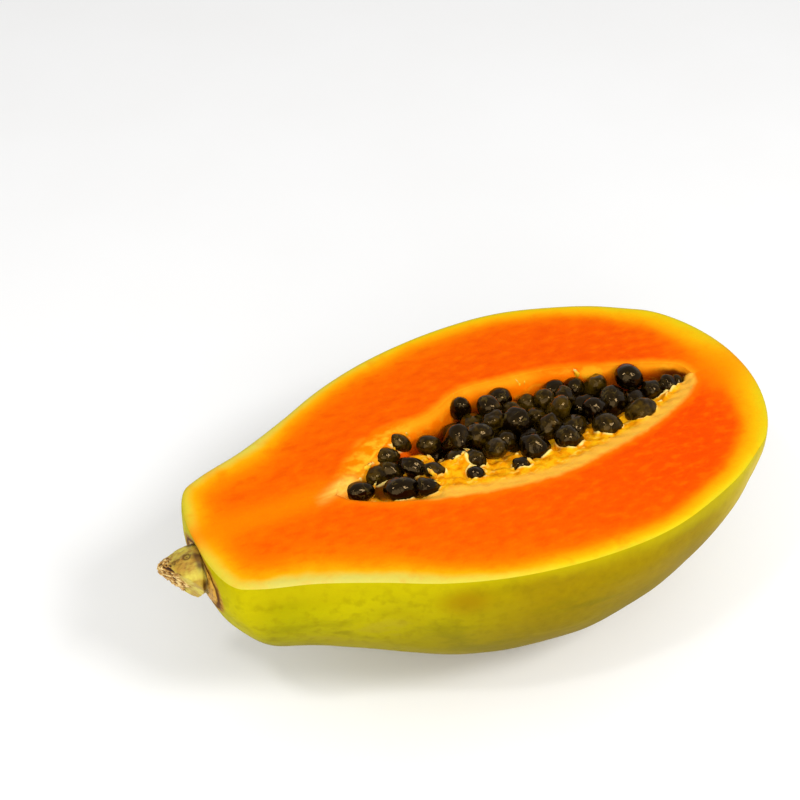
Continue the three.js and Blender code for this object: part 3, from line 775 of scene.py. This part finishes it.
def seed_places():
    """The seeds in front, each in its place, and the heap, laid in rows and then settled."""
    draw = draws(SEED_DRAW)
    seeds = [{"at": Vector(s[:3]), "radius": s[3] / 2, "fixed": True} for s in FRONT_SEEDS]
    for row, station in enumerate(np.arange(*SEED_ROWS, SEED_ROW_STEP)):
        offset = heap_near_edge(station) + row % 2 * SEED_STEP / 2
        while offset < far_lip(station) - HEAP_FAR_MARGIN + SEED_OVERRUN:
            x, y, rise = station + jitter(draw), offset + jitter(draw), jitter(draw)
            size = part_way(SEED_SIZE, next(draw))
            at = Vector((x, y, heap(x, y) + rise))
            if next(draw) >= SEED_SKIP and lining(x, y) <= at.z - BARE_OVER:
                seeds.append({"at": at, "radius": size / 2, "fixed": False})
            offset += SEED_STEP
    for _ in range(SETTLING_ROUNDS):
        settle(seeds)
    return seeds


def new_seed(number, wrinkle, dent):
    """One seed, 2 across: an egg with a blunt tip, dented, and finely wrinkled in its soft coat."""
    ball = bpy.ops.mesh.primitive_ico_sphere_add
    seed = begin_with(ball, subdivisions=SEED_FINENESS, radius=1)
    bpy.ops.object.shade_smooth()
    apart = Vector((3.1 * number, 0, 0))  # every seed has its own stretch of the noise
    for vertex in seed.data.vertices:
        way = vertex.co.normalized()
        hollows = noise.noise(way * 1.3 + apart)
        folds = 1 - 2 * abs(noise.noise(Vector((way.x * 0.9, way.y * 3.4, way.z * 3.4)) + apart))
        pores = noise.noise(way * 6 + apart)
        vertex.co *= 1 + dent * hollows + wrinkle * (folds + 0.5 * pores)
        vertex.co.yz *= 1 - SEED_TAPER * way.x
    edit_whole(bpy.ops.transform.resize, value=SEED_FORM)
    return seed


def under_places():
    """The seeds packed under the upper ones, where they show between them."""
    draw = draws(SEED_DRAW + 2)
    seeds = []
    for row, station in enumerate(np.arange(*UNDER_ROWS, UNDER_STEP)):
        near = heap_near_edge(station) + row % 2 * UNDER_SHIFT
        for offset in np.arange(near, far_lip(station) - UNDER_FAR_MARGIN, UNDER_STEP):
            x, y = station + jitter(draw), offset + jitter(draw)
            at = Vector((x, y, heap(x, y) + UNDER_LEVEL))
            by_fold = x - FOLD_PLACE[0] < BEHIND_FOLD[0] and y - FOLD_PLACE[1] < BEHIND_FOLD[1]
            if lining(x, y) <= at.z and not by_fold:
                seeds.append({"at": at, "radius": UNDER_SIZE / 2})
    return seeds


def copy_of(kinds, number):
    """A copy of one of several kinds, taken in turn, with its own mesh."""
    kind = kinds[number % len(kinds)]
    copy = kind.copy()
    copy.data = kind.data.copy()
    bpy.context.collection.objects.link(copy)
    return copy


def join(objects, kinds, name):
    """Makes one piece of several, gives it its name, and clears away what they were copied from."""
    for kind in kinds:
        bpy.data.objects.remove(kind)
    bpy.ops.object.select_all(action="DESELECT")
    for piece in objects:
        piece.select_set(True)
    bpy.context.view_layer.objects.active = objects[0]
    bpy.ops.object.join()
    whole = bpy.context.object
    whole.name = whole.data.name = name
    return whole


turn = draws(SEED_DRAW + 1)
seed_kinds = [new_seed(number, *form) for number, form in enumerate(SEED_KINDS)]
seed_objects = []
for i, seed in enumerate(seed_places() + under_places()):
    copy = copy_of(seed_kinds, i)
    drawn_out = LONG_SEED if seed["at"].x < LONG_BEFORE else 1 + LONGER_BY * next(turn)
    long = Matrix.Diagonal((drawn_out, drawn_out**-0.5, drawn_out**-0.5))
    about_z, about_y = next(turn) * math.tau, next(turn) * math.tau
    if i < len(FRONT_SEEDS):
        about_z = math.radians(LIE) + LIE_TURN * (about_z - math.pi)
        about_y *= LIE_TIP
    tumble = Matrix.Rotation(about_z, 3, "Z") @ Matrix.Rotation(about_y, 3, "Y")
    size = Matrix.Scale(seed["radius"] / 1000, 4)
    copy.data.transform(Matrix.Translation(in_part(seed["at"])) @ size @ (tumble @ long).to_4x4())
    add_layer(copy.data, "coat_tone", [next(turn)] * len(copy.data.vertices))
    seed_objects.append(copy)
seed_heap = join(seed_objects, seed_kinds, "papaya_seeds")

seed_coat = Finish("seed_coat", Specular_IOR_Level=0.31, Specular_Tint=hue(36, 0.42, 1))
own_tone = seed_coat.attribute("coat_tone") * 0.5 + seed_coat.mottle(5, 2) * 0.6
olive = (seed_coat.mottle(1.3, 4) * 0.8 + own_tone * 0.6).rise(0.66, 1.05)
# painted highlights: pale olive lines along the coat's wrinkles
wrinkle_highlights = seed_coat.lines(0.005, 2.6, 2) * seed_coat.mottle(3.5, 2).rise(0.5, 0.62)
coat = seed_coat.paint(
    seed_coat.mix(own_tone.rise(0.3, 0.8), hue(12, 0.9, 0.025), hue(30, 0.95, 0.075)),
    (olive, hue(42, 0.95, 0.26)),
    (wrinkle_highlights * 0.32, hue(44, 0.66, 0.42)),
)
wetness = seed_coat.mottle(1.6, 3).rise(0.4, 0.7)
seed_coat.wear(Base_Color=coat, Roughness=0.04 + wetness * 0.1)
seed_coat.bump(seed_coat.mottle(0.8, 3) * 0.6 + seed_coat.mottle(2.2, 2) * 2, 0.1)
seed_heap.data.materials.append(seed_coat.material)
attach(seed_heap, "root")
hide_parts("seeds")


# ---- The pulp ----------------------------------------------------------------
# Torn scraps of the soft lining and of the stalks that the seeds grew on. They stand up from the
# lining between the seeds, amber at the root and nearly white at the torn tip.

SCRAP_DRAW = 4711
SCRAP_LENGTH = (2.2, 4.2)
SCRAP_SIZES = (0.45, 0.95)  # by the seeds they are shorter than that, by this share
SCRAP_WIDTH = (0.62, 0.2)  # at its root and at its tip, as a share of its length
SCRAP_SIDES, SCRAP_RINGS = 16, 14
SCRAP_THINNESS = 0.4
SCRAP_BEND = 0.35
SCRAP_TILT = 0.5
SCRAP_ROOT = 0.7  # how deep the root of a scrap is sunk in the lining
SCRAPS_PER_SEED = 2
SCRAP_GAP = 0.4  # between a scrap and its seed
SCRAP_ANGLES = (55, 115)  # from the seed's near end, to one side or the other
SCRAPS_TO_BLOSSOM = 0.6  # share of them that stand on the side of the blossom end
# Scraps that stand alone: station, offset, the angle that they lean towards, and their size.
LONE_SCRAPS = [
    (67, 3.5, 155, 1), (69.5, 4.5, -25, 1), (78.6, 0.5, 150, 1.1), (64.5, -3.5, 160, 1.2),
    (58.6, 2.4, 20, 1), (49, 1.5, 40, 1), (101.2, 18.6, 130, 0.8), (102.6, 18.4, 50, 0.9),
    (117.4, 14.9, 150, 0.8), (137, 2.4, 90, 1),
]


def new_scrap(number):
    """One scrap, 1 long: a leaf of pulp drawn out of a ball, bent over and ragged at its tip."""
    ball = bpy.ops.mesh.primitive_uv_sphere_add
    scrap = begin_with(ball, segments=SCRAP_SIDES, ring_count=SCRAP_RINGS, radius=0.5)
    bpy.ops.object.shade_smooth()
    tips = []
    for vertex in scrap.data.vertices:
        up = vertex.co.z + 0.5
        width = part_way(SCRAP_WIDTH, up)
        ragged = noise.noise(Vector((vertex.co.x * 5, vertex.co.y * 5, up * 3 + 5 * number)))
        vertex.co.x = vertex.co.x * width * (1 + 0.7 * ragged) + SCRAP_BEND * up * up
        vertex.co.y = vertex.co.y * width * SCRAP_THINNESS + 0.1 * ragged * up
        vertex.co.z = up * (1 + 0.2 * ragged)
        tips.append(up)
    add_layer(scrap.data, "scrap_tip", tips)
    return scrap


draw = draws(SCRAP_DRAW)
scrap_kinds = [new_scrap(number) for number in range(4)]
roots = [(x, y, math.radians(lean), size) for x, y, lean, size in LONE_SCRAPS]
for station, offset, height, size in FRONT_SEEDS:
    for _ in range(SCRAPS_PER_SEED):
        turned_by = part_way(SCRAP_ANGLES, next(draw))
        side = math.radians(-90 + turned_by * (1 if next(draw) < SCRAPS_TO_BLOSSOM else -1))
        reach = size / 2 + SCRAP_GAP
        x, y = station + reach * math.cos(side), offset + reach * math.sin(side)
        roots.append((x, y, side + math.pi, part_way(SCRAP_SIZES, next(draw))))
scraps = []
for i, (x, y, lean, share) in enumerate(roots):
    copy = copy_of(scrap_kinds, i)
    length = share * part_way(SCRAP_LENGTH, next(draw)) / 1000
    turn_to = Matrix.Rotation(lean, 4, "Z") @ Matrix.Rotation(SCRAP_TILT * next(draw), 4, "Y")
    root = in_part((x, y, lining(x, y) - SCRAP_ROOT))
    copy.data.transform(Matrix.Translation(root) @ turn_to @ Matrix.Scale(length, 4))
    scraps.append(copy)
pulp_scraps = join(scraps, scrap_kinds, "papaya_pulp_scraps")

scrap = Finish(
    "torn_pulp", Roughness=0.4, Specular_IOR_Level=0.2, Subsurface_Weight=0.15,
    Subsurface_Scale=GLOW_DEPTH,
)
tip = scrap.attribute("scrap_tip") + scrap.mottle(1.2, 3) * 0.5 - 0.25
amber = scrap.mix(scrap.mottle(1.5, 3).rise(0.35, 0.65), hue(38, 0.98, 0.95), hue(44, 0.85, 1.0))
scrap.wear(Base_Color=scrap.mix(tip.rise(0.6, 1.0), amber, hue(45, 0.52, 0.98)))
scrap.bump(scrap.mottle(0.5, 3), 0.1)
pulp_scraps.data.materials.append(scrap.material)
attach(pulp_scraps, "root")


# ---- The stem ----------------------------------------------------------------
# The short stub that stayed on when the fruit was twisted off its tree: a corky brown collar in
# the fruit's end, an olive-yellow, faintly five-cornered stub, and a fibrous break across it.

COLLAR_PROFILE = [(-3.4, 4), (-1.6, 5.9), (-0.8, 6.5), (0.1, 6.4), (0.7, 5.7), (1, 2)]
COLLAR_BREADTH = 1.48
COLLAR_PLACE = (0.9, -2.8, -8.1)
STUB_PROFILE = [
    (-0.4, 5), (1, 5.8), (1.8, 6.8), (3.2, 6.9), (5, 6.3), (7.1, 5.4), (8.9, 4.2), (10.4, 3.3),
    (11.4, 2.5), (11.9, 1),
]
STUB_PLACE = (1.3, -3.2, -7.9)
STUB_DIRECTION = (-1, 0.2, 0.15)
STUB_CORNERS = 0.05
BREAK_POINT = (-5.25, -3.6, -8.9)  # the stub is broken off across this place
BREAK_DIRECTION = (-0.7, -0.55, -0.27)
# The end of the stub is torn on one side of a place, and its fibres run along as far as another.
TORN_EDGE = (-5.1, -1.8, -6.2)
TORN_END = (-4.3, -6.2, -6.1)
TORN_SIDE = (-0.875, -0.065, -0.479)
TORN_RUN = (0.363, -0.742, -0.563)
# Round scars on the upper side: place and radius.
LEAF_SCARS = [((-2.9, -2.9, -0.9), 1.1), ((-6.1, -2.5, -2.1), 0.6), ((-5.1, -2.5, -1.6), 0.5)]
STEM_SIDES = 60
STEM_GRAIN = 0.00028  # size of the mesh of the finished stem
TORN_DEPTH = 0.7  # between the strands of the torn end
CREASE_DEPTH = 0.25  # where the stub stands in its collar


def turned(profile, corners=0.0):
    """A round shape drawn out step by step along Z, from its first radius to its last."""
    start, radius = profile[0]
    shape = begin_with(
        bpy.ops.mesh.primitive_circle_add, vertices=STEM_SIDES, radius=radius / 1000,
        fill_type="NGON", location=(0, 0, start / 1000),
    )
    bpy.ops.object.transform_apply(location=True)
    bpy.ops.object.mode_set(mode="EDIT")
    bpy.ops.mesh.select_all(action="SELECT")
    for (a, wide), (b, wider) in pairwise(profile):
        step = {"value": (0, 0, (b - a) / 1000), "orient_type": "GLOBAL"}
        bpy.ops.mesh.extrude_region_move(TRANSFORM_OT_translate=step)
        bpy.ops.transform.resize(value=(wider / wide, wider / wide, 1))
    bpy.ops.object.mode_set(mode="OBJECT")
    edit_whole(bpy.ops.mesh.normals_make_consistent, inside=False)
    for vertex in shape.data.vertices:
        corner = 1 + corners * math.cos(RIB_COUNT * math.atan2(vertex.co.y, vertex.co.x))
        vertex.co.x, vertex.co.y = vertex.co.x * corner, vertex.co.y * corner
    return shape


def stand(shape, direction, place, breadth=1.0):
    """Turns a shape's Z along a direction, broadens it and sets it in its place on the fruit."""
    turn = Vector(direction).to_track_quat("Z", "Y").to_matrix().to_4x4()
    broader = Matrix.Diagonal((1, breadth, 1, 1))
    shape.data.transform(Matrix.Translation(in_part(place)) @ broader @ turn)


collar = turned(COLLAR_PROFILE)
stand(collar, (-1, 0, 0), COLLAR_PLACE, COLLAR_BREADTH)
stub = turned(STUB_PROFILE, STUB_CORNERS)
stand(stub, STUB_DIRECTION, STUB_PLACE)
edit_whole(
    bpy.ops.mesh.bisect, plane_co=in_part(BREAK_POINT), plane_no=BREAK_DIRECTION,
    use_fill=True, clear_outer=True,
)
stem = join([stub, collar], [], "papaya_stem")
remesh = stem.modifiers.new("grown_together", "REMESH")
remesh.mode, remesh.voxel_size = "VOXEL", STEM_GRAIN
bpy.ops.object.modifier_apply(modifier="grown_together")
smooth = stem.modifiers.new("soft", "SMOOTH")
smooth.iterations = 4
bpy.ops.object.modifier_apply(modifier="soft")
bpy.ops.object.shade_smooth()

stem_end = Vector(in_part((0, 0, 0))) * 1000
torn_side, torn_run = Vector(TORN_SIDE).normalized(), Vector(TORN_RUN).normalized()
over_run = torn_side.cross(torn_run)
stub_axis = Vector(STUB_DIRECTION).normalized()
stub_steps, stub_radii = np.array(STUB_PROFILE).T
marks, moved = [], []
for vertex in stem.data.vertices:
    at = vertex.co * 1000 - stem_end
    rough = noise.noise(at * 0.9)
    # the torn end: strands side by side, with gaps between them
    past = (at - Vector(TORN_EDGE)).dot(torn_side) + 1.1 * noise.noise(at * 0.7 + Vector((7, 0, 0)))
    beyond = (at - Vector(TORN_END)).dot(torn_run) + rough
    torn = between(past, -0.3, 0.3) * between(beyond, 1.3, 0.4)
    lie = Vector((at.dot(torn_run) * 0.28, at.dot(torn_side) * 1.25, at.dot(over_run) * 1.25))
    strand = 1 - 2 * abs(noise.noise(lie)) + 0.5 * noise.noise(lie * 2.3)
    lift = torn * (TORN_DEPTH * strand - 0.45)
    # the scars of fallen leaves: a pit with a raised ring
    dark = 0.0
    for place, radius in LEAF_SCARS:
        apart = (at - Vector(place)).length / radius
        lift += (0.16 * hump(apart - 1, 0.28) - 0.3 * (apart < 0.8)) * min(radius, 0.8)
        dark = max(dark, hump(apart - 0.8, 0.22), 0.8 * (apart < 0.3))
    # the crease where the stub stands in the collar, also darkened in colour as painted shade, and
    # the collar outside it
    step = (at - Vector(STUB_PLACE)).dot(stub_axis)
    radial = (at - Vector(STUB_PLACE) - stub_axis * step).length
    outside = radial - np.interp(step, stub_steps, stub_radii)
    near_foot = between(at.x, -2.2, -1)
    crease = near_foot * hump(outside - 0.15, 0.32)
    lift -= CREASE_DEPTH * crease
    on_collar = near_foot * between(outside, 0.2, 0.6)
    marks.append((torn, strand, max(dark, crease), on_collar, at.z + 1.5 * rough - 0.35 * at.x))
    moved.append(vertex.co + vertex.normal * (lift + 0.12 * rough) / 1000)
for vertex, place in zip(stem.data.vertices, moved):
    vertex.co = place
for name, values in zip(("torn", "strand", "dark", "on_collar", "browned"), zip(*marks)):
    add_layer(stem.data, name, values)

bark = Finish("stem_bark", Roughness=0.5, Specular_IOR_Level=0.2)
grain = bark.mottle(0.9, 4, (0.35, 1.3, 1.3))
blotches = bark.mottle(3.4, 3)
browned = (bark.attribute("browned") + blotches * 3).rise(-0.6, 2.4)
brown = bark.mix(grain.rise(0.4, 0.65), hue(37, 0.74, 0.66), hue(33, 0.82, 0.48))
green = bark.paint(
    bark.mix(blotches.rise(0.4, 0.62), hue(52, 0.66, 0.8), hue(45, 0.74, 0.7)),
    (grain.rise(0.52, 0.75) * 0.35, hue(38, 0.8, 0.55)),
)
fibre = bark.attribute("strand")
# the torn end: dark in the gaps between its strands as painted shade, and pale cream on the highest
# strands, partly their own colour and partly painted highlight
torn_end = bark.paint(
    bark.mix(fibre.rise(0.25, 0.75), hue(26, 0.9, 0.24), hue(36, 0.68, 0.72)),
    ((fibre + grain * 0.5).rise(0.95, 1.25), hue(42, 0.42, 0.93)),
)
corky = bark.mix(bark.mottle(1.6, 3).rise(0.4, 0.65), hue(40, 0.74, 0.82), hue(37, 0.82, 0.62))
bark.wear(Base_Color=bark.paint(
    green,
    (browned * 0.85, brown),
    (bark.attribute("torn"), torn_end),
    (bark.attribute("on_collar"), corky),
    # the leaf scars in their own dark colour, and painted shade in the crease round the stub's foot
    (bark.attribute("dark") * 0.9, hue(28, 0.9, 0.27)),
))
bark.bump(grain, 0.12)
stem.data.materials.clear()
stem.data.materials.append(bark.material)
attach(stem, "root")
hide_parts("stem")


# ---- The floor, the light and the camera --------------------------------------
# A plain pale table under soft studio light, and the camera over the near side of the stem end.

# The floor and the lamps are given in metres, and the camera as places on the fruit are.
FLOOR_SIZE = 3
CAMERA_AT = (-69.33, -261.78, 289.22)
CAMERA_AIM = (67.97, 24.89, 0)
LENS = 72
SENSOR = 36
LIGHT_AIM = (0, 0, 0.03)
# The lamps: name, place, size and power.
LIGHTS = [
    ("key_light", (0.24, -0.44, 0.66), 0.2, 2.5),
    ("fill_light", (-0.35, -0.7, 0.5), 0.7, 3.4),
    ("glint_light", (-0.28, -0.12, 0.6), 0.06, 0.5),
]
ROOM_LIGHT = 0.63  # the soft light that comes from all sides

floor = begin_with(bpy.ops.mesh.primitive_plane_add, size=FLOOR_SIZE)
floor.name = "floor"
pale = Finish("pale_floor", Roughness=0.8)
pale.wear(Base_Color=pale.mix(pale.mottle(60, 2), hue(40, 0.0, 1.0), hue(40, 0.008, 0.985)))
floor.data.materials.append(pale.material)

for name, at, size, watts in LIGHTS:
    bpy.ops.object.light_add(type="AREA", location=at)
    light = bpy.context.object
    light.name = name
    light.data.shape, light.data.size, light.data.energy = "SQUARE", size, watts
    light.rotation_euler = (Vector(LIGHT_AIM) - Vector(at)).to_track_quat("-Z", "Y").to_euler()

world = bpy.data.worlds.new("soft_light")
bpy.context.scene.world = world
world.use_nodes = True
room = world.node_tree.nodes["Background"].inputs
room["Color"].default_value = (1, 1, 1, 1)
room["Strength"].default_value = ROOM_LIGHT
bpy.context.scene.view_settings.view_transform = "Standard"

bpy.ops.object.camera_add(location=in_part(CAMERA_AT))
camera = bpy.context.object
camera.name = "camera"
way = Vector(in_part(CAMERA_AIM)) - camera.location
camera.rotation_euler = way.to_track_quat("-Z", "Y").to_euler()
camera.data.lens, camera.data.sensor_width = LENS, SENSOR
camera.data.clip_start = 0.01
bpy.context.scene.camera = camera
